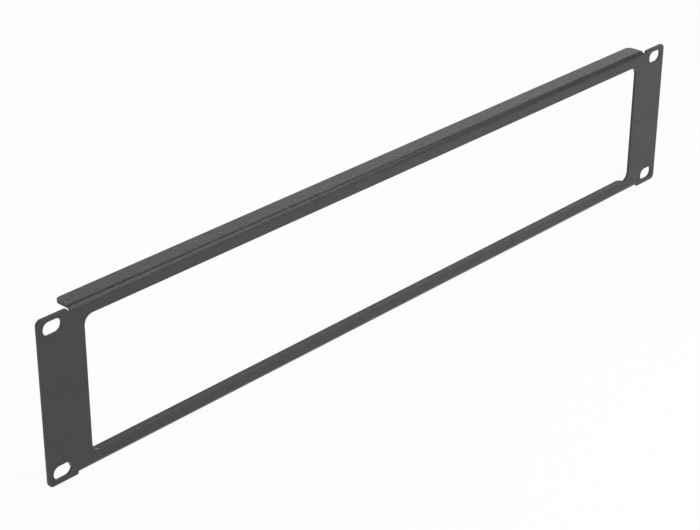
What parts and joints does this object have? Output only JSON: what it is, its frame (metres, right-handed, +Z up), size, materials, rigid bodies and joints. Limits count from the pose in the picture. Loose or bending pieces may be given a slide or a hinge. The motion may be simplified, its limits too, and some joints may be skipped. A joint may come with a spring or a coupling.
{
  "type": "rack cutout panel",
  "caption": "Folded sheet-steel panel for a 19 inch rack, with a large rectangular cutout, return flanges along both long edges and slotted ears.",
  "frame": {"origin": "centre of the mounting slots, on the rear face of the ears that lies against the rack's rails", "axes": "+X along the width, to the right seen from the front; +Y into the rack; +Z up"},
  "size_m": [0.4826, 0.012, 0.0882],
  "materials": {
    "powder_coat": "dark grey powder coat with a fine even texture and a satin sheen"
  },
  "bodies": {
    "root": {"cutout_panel": "powder_coat"}
  },
  "joints": []
}
